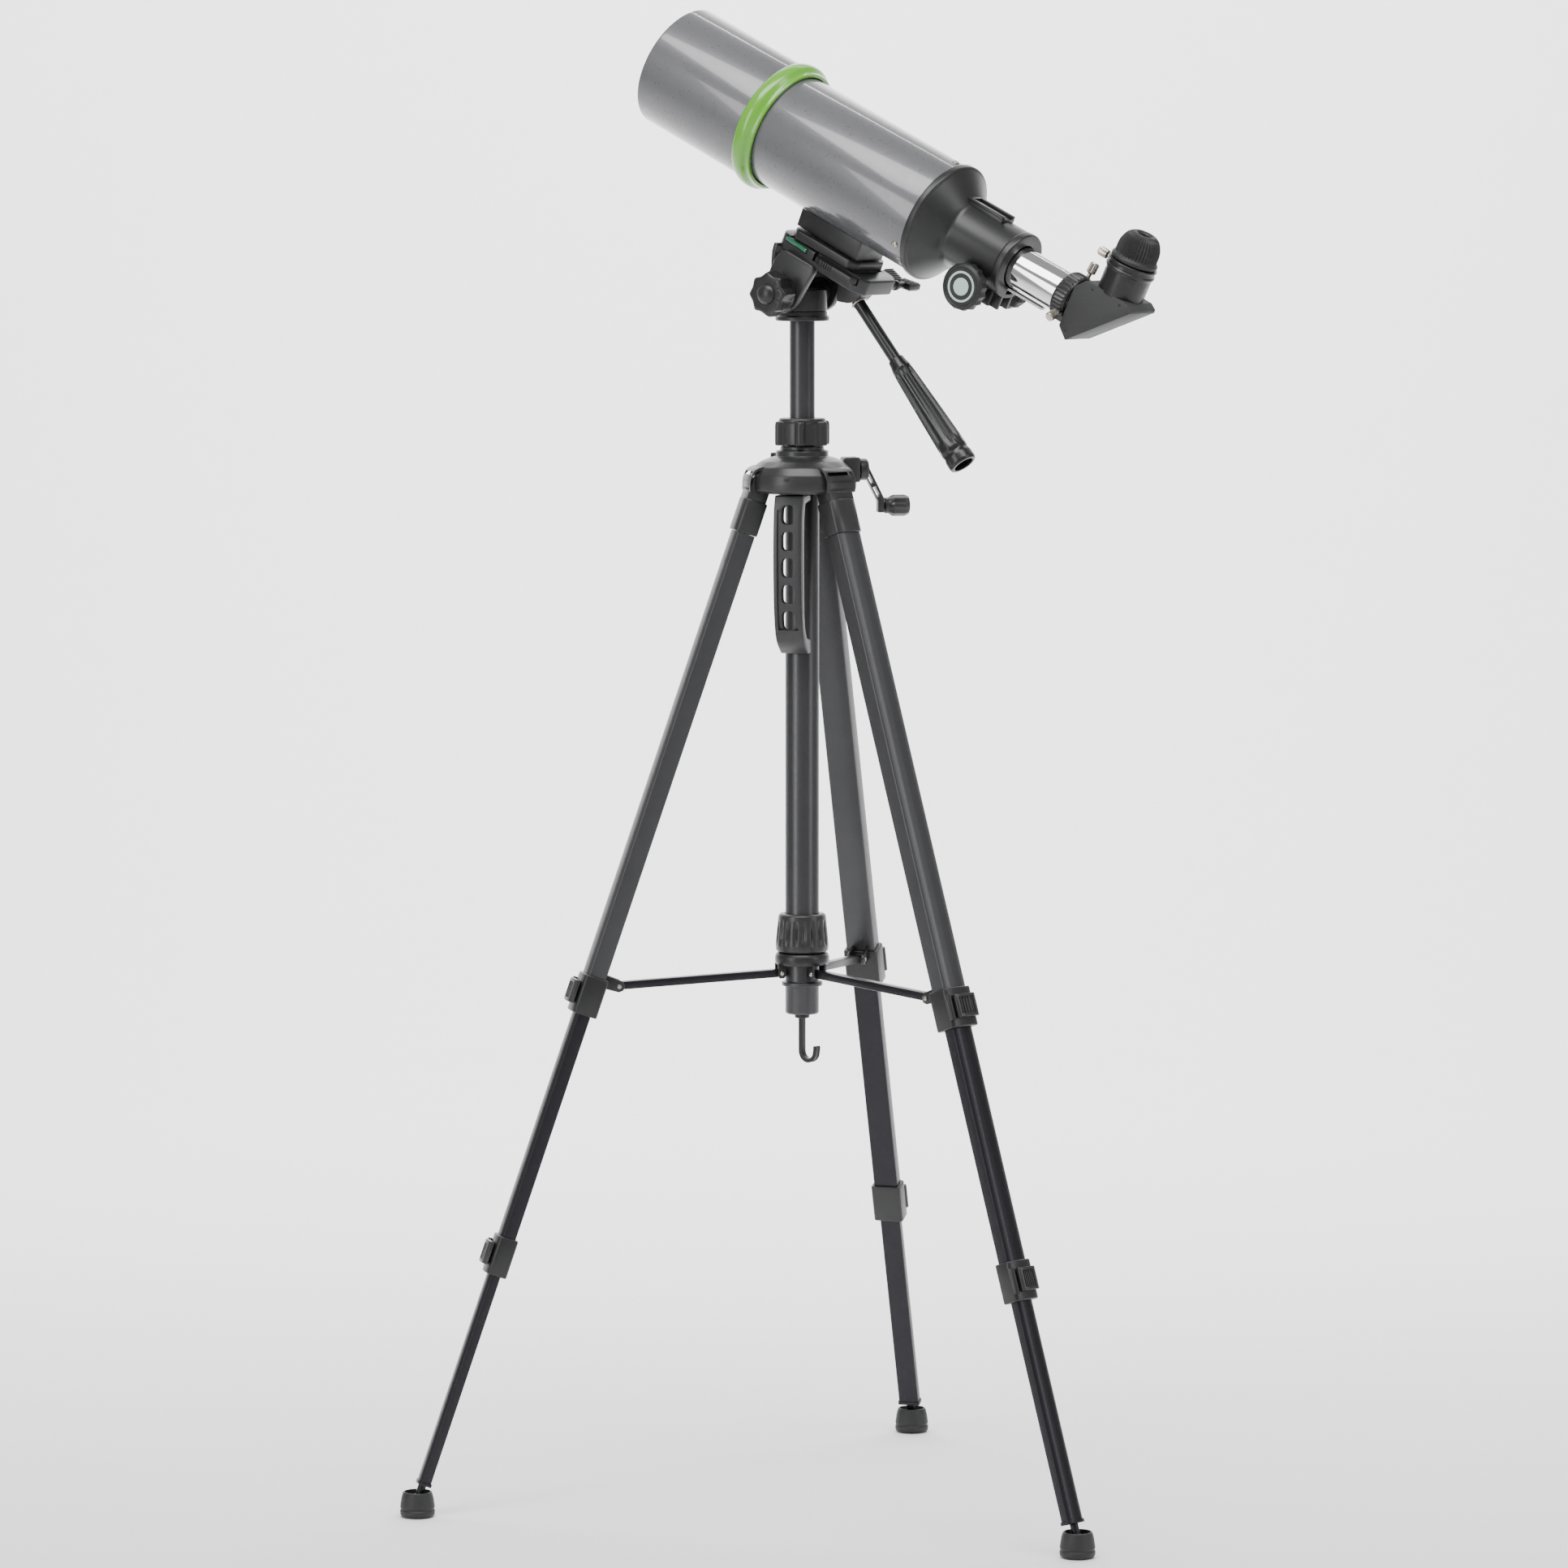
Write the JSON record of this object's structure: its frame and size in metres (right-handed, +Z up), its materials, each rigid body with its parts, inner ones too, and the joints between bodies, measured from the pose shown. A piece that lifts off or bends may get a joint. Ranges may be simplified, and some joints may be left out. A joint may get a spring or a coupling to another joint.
{
  "type": "telescope on tripod",
  "caption": "Short refractor telescope with a star diagonal and eyepiece, clamped on a folding photo tripod with pan handle and geared centre column.",
  "frame": {"origin": "centre of the bounding box on the floor plane, under the tripod", "axes": "+Z up; +X the horizontal direction in which the telescope looks; the tilt axis of the head runs along Y"},
  "size_m": [0.5964, 0.5984, 1.278],
  "materials": {
    "grey_paint": "gloss enamel",
    "green_gloss": "gloss moulded",
    "black_plastic": "satin moulded",
    "soft_black": "matte",
    "dark_alloy": "satin anodised",
    "black_alloy": "satin anodised",
    "chrome": "polished",
    "nickel": "knurled",
    "glass": "coated",
    "mirror": "front silvered"
  },
  "bodies": {
    "stand": {"outer_tube": "dark_alloy", "canopy": "black_plastic", "carry_handle": "black_plastic"},
    "column": {"centre_column": "dark_alloy", "pan_base": "black_plastic"},
    "column_collar": {"column_collar": "black_plastic"},
    "crank": {"crank_arm": "black_plastic"},
    "crank_knob": {"crank_knob": "black_plastic"},
    "hub": {"spreader_hub": "black_plastic"},
    "lower_collar": {"lower_collar": "black_plastic"},
    "hook": {"hook": "black_plastic"},
    "pan_head": {"tilt_body": "black_plastic"},
    "side_knob": {"side_knob": "soft_black"},
    "platform": {"head_platform": "black_plastic", "pan_handle_rod": "black_plastic"},
    "handle_grip": {"pan_handle_grip": "soft_black"},
    "release_lever": {"release_lever": "black_plastic"},
    "telescope": {"release_plate": "black_plastic", "dovetail_block": "black_plastic", "main_tube": "grey_paint", "dew_shield": "grey_paint", "trim_ring": "green_gloss", "lens_cell": "black_plastic", "objective_lens": "glass", "focuser_housing": "black_plastic"},
    "drawtube": {"drawtube": "chrome", "clamp_ring": "black_plastic"},
    "focus_shaft": {"focus_shaft": "nickel", "focus_knob_left": "soft_black", "focus_knob_right": "soft_black"},
    "ring_screw_1": {"ring_screw_1": "nickel"},
    "ring_screw_2": {"ring_screw_2": "nickel"},
    "diagonal": {"diagonal_housing": "black_plastic", "diagonal_mirror": "mirror"},
    "holder_screw": {"holder_screw": "nickel"},
    "eyepiece": {"eyepiece": "soft_black"},
    "leg_a": {"leg_a_yoke": "black_plastic", "leg_a_upper_tube": "dark_alloy"},
    "leg_a_middle": {"leg_a_mid_tube": "black_alloy"},
    "leg_a_bottom": {"leg_a_lower_tube": "black_alloy"},
    "leg_a_foot": {"leg_a_foot": "soft_black"},
    "leg_a_upper_lever": {"leg_a_upper_lever": "black_plastic"},
    "leg_a_lower_lever": {"leg_a_lower_lever": "black_plastic"},
    "leg_a_arm": {"leg_a_spreader_arm": "black_alloy"},
    "leg_b": {"leg_b_yoke": "black_plastic", "leg_b_upper_tube": "dark_alloy"},
    "leg_b_middle": {"leg_b_mid_tube": "black_alloy"},
    "leg_b_bottom": {"leg_b_lower_tube": "black_alloy"},
    "leg_b_foot": {"leg_b_foot": "soft_black"},
    "leg_b_upper_lever": {"leg_b_upper_lever": "black_plastic"},
    "leg_b_lower_lever": {"leg_b_lower_lever": "black_plastic"},
    "leg_b_arm": {"leg_b_spreader_arm": "black_alloy"},
    "leg_c": {"leg_c_yoke": "black_plastic", "leg_c_upper_tube": "dark_alloy"},
    "leg_c_middle": {"leg_c_mid_tube": "black_alloy"},
    "leg_c_bottom": {"leg_c_lower_tube": "black_alloy"},
    "leg_c_foot": {"leg_c_foot": "soft_black"},
    "leg_c_upper_lever": {"leg_c_upper_lever": "black_plastic"},
    "leg_c_lower_lever": {"leg_c_lower_lever": "black_plastic"},
    "leg_c_arm": {"leg_c_spreader_arm": "black_alloy"}
  },
  "joints": [
    {"name": "hub_slide", "type": "slide", "parent": "stand", "child": "hub", "axis": [0, 0, 1], "range_m": [0, 0.1132]},
    {"name": "leg_a_fold", "type": "hinge", "parent": "stand", "child": "leg_a", "pos_m": [0.08185, 0.06374, 0.878], "axis": [-0.7385, 0.6743, 0], "range_deg": [0, 15]},
    {"name": "leg_a_middle_slide", "type": "slide", "parent": "leg_a", "child": "leg_a_middle", "axis": [0.2203, 0.2412, -0.9451], "range_m": [-0.2, 0.1]},
    {"name": "leg_a_bottom_slide", "type": "slide", "parent": "leg_a_middle", "child": "leg_a_bottom", "axis": [0.2203, 0.2412, -0.9451], "range_m": [-0.18, 0.09]},
    {"name": "leg_a_upper_lever", "type": "hinge", "parent": "leg_a", "child": "leg_a_upper_lever", "pos_m": [0.20028, 0.17297, 0.4472], "axis": [0.2203, 0.2412, -0.9451], "range_deg": [0, 110]},
    {"name": "leg_a_lower_lever", "type": "hinge", "parent": "leg_a_middle", "child": "leg_a_lower_lever", "pos_m": [0.24916, 0.22947, 0.22501], "axis": [0.2203, 0.2412, -0.9451], "range_deg": [0, 110]},
    {"name": "leg_a_foot_tilt", "type": "hinge", "parent": "leg_a_bottom", "child": "leg_a_foot", "pos_m": [0.2832, 0.28424, 0.014], "axis": [-0.7385, 0.6743, 0], "range_deg": [-12, 12]},
    {"name": "leg_a_arm_fold", "type": "hinge", "parent": "hub", "child": "leg_a_arm", "pos_m": [0.06944, 0.05015, 0.458], "axis": [-0.7385, 0.6743, 0], "range_deg": [0, 76.78]},
    {"name": "leg_b_fold", "type": "hinge", "parent": "stand", "child": "leg_b", "pos_m": [0.02011, 0.04415, 0.878], "axis": [-0.2147, -0.9767, 0], "range_deg": [0, 15]},
    {"name": "leg_b_middle_slide", "type": "slide", "parent": "leg_b", "child": "leg_b_middle", "axis": [-0.319, 0.0701, -0.9451], "range_m": [-0.2, 0.1]},
    {"name": "leg_b_bottom_slide", "type": "slide", "parent": "leg_b_middle", "child": "leg_b_bottom", "axis": [-0.319, 0.0701, -0.9451], "range_m": [-0.18, 0.09]},
    {"name": "leg_b_upper_lever", "type": "hinge", "parent": "leg_b", "child": "leg_b_upper_lever", "pos_m": [-0.13371, 0.0921, 0.4472], "axis": [-0.319, 0.0701, -0.9451], "range_deg": [0, 110]},
    {"name": "leg_b_lower_lever", "type": "hinge", "parent": "leg_b_middle", "child": "leg_b_lower_lever", "pos_m": [-0.20707, 0.10618, 0.22501], "axis": [-0.319, 0.0701, -0.9451], "range_deg": [0, 110]},
    {"name": "leg_b_foot_tilt", "type": "hinge", "parent": "leg_b_bottom", "child": "leg_b_foot", "pos_m": [-0.27153, 0.10827, 0.014], "axis": [-0.2147, -0.9767, 0], "range_deg": [-12, 12]},
    {"name": "leg_b_arm_fold", "type": "hinge", "parent": "hub", "child": "leg_b_arm", "pos_m": [0.03808, 0.0402, 0.458], "axis": [-0.2147, -0.9767, 0], "range_deg": [0, 76.78]},
    {"name": "leg_c_fold", "type": "hinge", "parent": "stand", "child": "leg_c", "pos_m": [0.06794, 0.00047, 0.878], "axis": [0.9532, 0.3024, 0], "range_deg": [0, 15]},
    {"name": "leg_c_middle_slide", "type": "slide", "parent": "leg_c", "child": "leg_c_middle", "axis": [0.0988, -0.3114, -0.9451], "range_m": [-0.2, 0.1]},
    {"name": "leg_c_bottom_slide", "type": "slide", "parent": "leg_c_middle", "child": "leg_c_bottom", "axis": [0.0988, -0.3114, -0.9451], "range_m": [-0.18, 0.09]},
    {"name": "leg_c_upper_lever", "type": "hinge", "parent": "leg_c", "child": "leg_c_upper_lever", "pos_m": [0.10332, -0.15671, 0.4472], "axis": [0.0988, -0.3114, -0.9451], "range_deg": [0, 110]},
    {"name": "leg_c_lower_lever", "type": "hinge", "parent": "leg_c_middle", "child": "leg_c_lower_lever", "pos_m": [0.12781, -0.22728, 0.22501], "axis": [0.0988, -0.3114, -0.9451], "range_deg": [0, 110]},
    {"name": "leg_c_foot_tilt", "type": "hinge", "parent": "leg_c_bottom", "child": "leg_c_foot", "pos_m": [0.15823, -0.28415, 0.014], "axis": [0.9532, 0.3024, 0], "range_deg": [-12, 12]},
    {"name": "leg_c_arm_fold", "type": "hinge", "parent": "hub", "child": "leg_c_arm", "pos_m": [0.06238, 0.01801, 0.458], "axis": [0.9532, 0.3024, 0], "range_deg": [0, 76.78]},
    {"name": "lower_collar_twist", "type": "hinge", "parent": "hub", "child": "lower_collar", "pos_m": [0.05663, 0.03612, 0.49], "axis": [0, 0, 1], "range_deg": [0, 90]},
    {"name": "hook_swivel", "type": "hinge", "parent": "stand", "child": "hook", "pos_m": [0.05663, 0.03612, 0.421], "axis": [0, 0, 1], "continuous": true},
    {"name": "column_lift", "type": "slide", "parent": "stand", "child": "column", "axis": [0, 0, 1], "range_m": [-0.06, 0.2]},
    {"name": "column_collar_twist", "type": "hinge", "parent": "stand", "child": "column_collar", "pos_m": [0.05663, 0.03612, 0.92], "axis": [0, 0, 1], "range_deg": [-90, 0]},
    {"name": "crank_turn", "type": "hinge", "parent": "stand", "child": "crank", "pos_m": [0.05663, 0.03612, 0.888], "axis": [-0.6743, -0.7385, 0], "range_deg": [-460, 1460]},
    {"name": "crank_knob_spin", "type": "hinge", "parent": "crank", "child": "crank_knob", "pos_m": [0.00269, -0.02295, 0.857], "axis": [-0.6743, -0.7385, 0], "continuous": true},
    {"name": "pan_swivel", "type": "hinge", "parent": "column", "child": "pan_head", "pos_m": [0.05663, 0.03612, 1.023], "axis": [0, 0, 1], "continuous": true},
    {"name": "tilt", "type": "hinge", "parent": "pan_head", "child": "platform", "pos_m": [0.05663, 0.03612, 1.0386], "axis": [0, 1, 0], "range_deg": [-20, 50]},
    {"name": "side_knob_turn", "type": "hinge", "parent": "pan_head", "child": "side_knob", "pos_m": [0.05663, 0.08112, 1.0386], "axis": [0, 1, 0], "range_deg": [0, 180]},
    {"name": "handle_grip_twist", "type": "hinge", "parent": "platform", "child": "handle_grip", "pos_m": [0.0059, 0.03612, 1.04035], "axis": [-0.6239, 0, -0.7815], "range_deg": [-180, 0]},
    {"name": "release_lever_swing", "type": "hinge", "parent": "platform", "child": "release_lever", "pos_m": [0.02043, 0.06362, 1.06672], "axis": [0.4321, 0, -0.9018], "range_deg": [0, 40]},
    {"name": "plate_lift_off", "type": "slide", "parent": "platform", "child": "telescope", "axis": [-0.4321, 0, 0.9018], "range_m": [0, 0.06]},
    {"name": "focus_travel", "type": "slide", "parent": "telescope", "child": "drawtube", "axis": [-0.9018, 0, -0.4321], "range_m": [-0.045, 0.05]},
    {"name": "focus_shaft_turn", "type": "hinge", "parent": "telescope", "child": "focus_shaft", "pos_m": [-0.13143, 0.03612, 1.04763], "axis": [0, 1, 0], "range_deg": [-520, 520]},
    {"name": "ring_screw_1_turn", "type": "hinge", "parent": "drawtube", "child": "ring_screw_1", "pos_m": [-0.22602, 0.03263, 1.05158], "axis": [-0.4226, -0.2079, 0.8821], "range_deg": [0, 720]},
    {"name": "ring_screw_2_turn", "type": "hinge", "parent": "drawtube", "child": "ring_screw_2", "pos_m": [-0.21585, 0.05135, 1.03035], "axis": [0.1826, 0.9063, -0.3811], "range_deg": [0, 720]},
    {"name": "diagonal_turn", "type": "hinge", "parent": "drawtube", "child": "diagonal", "pos_m": [-0.21955, 0.03612, 1.03645], "axis": [0.9018, 0, 0.4321], "continuous": true},
    {"name": "holder_screw_turn", "type": "hinge", "parent": "diagonal", "child": "holder_screw", "pos_m": [-0.25743, 0.03612, 1.07153], "axis": [0.9018, 0, 0.4321], "range_deg": [0, 720]},
    {"name": "eyepiece_pull", "type": "slide", "parent": "diagonal", "child": "eyepiece", "axis": [-0.4321, 0, 0.9018], "range_m": [0, 0.035]}
  ],
  "couplings": [
    {"joint": "leg_a_arm_fold", "follows": "leg_a_fold", "ratio": 5.0517},
    {"joint": "leg_b_fold", "follows": "leg_a_fold", "ratio": 1},
    {"joint": "leg_b_arm_fold", "follows": "leg_a_fold", "ratio": 5.0517},
    {"joint": "leg_c_fold", "follows": "leg_a_fold", "ratio": 1},
    {"joint": "leg_c_arm_fold", "follows": "leg_a_fold", "ratio": 5.0517},
    {"joint": "hub_slide", "follows": "leg_a_fold", "m_per_rad": 0.42475},
    {"joint": "crank_turn", "follows": "column_lift", "rad_per_m": 125},
    {"joint": "focus_shaft_turn", "follows": "focus_travel", "rad_per_m": -175}
  ]
}
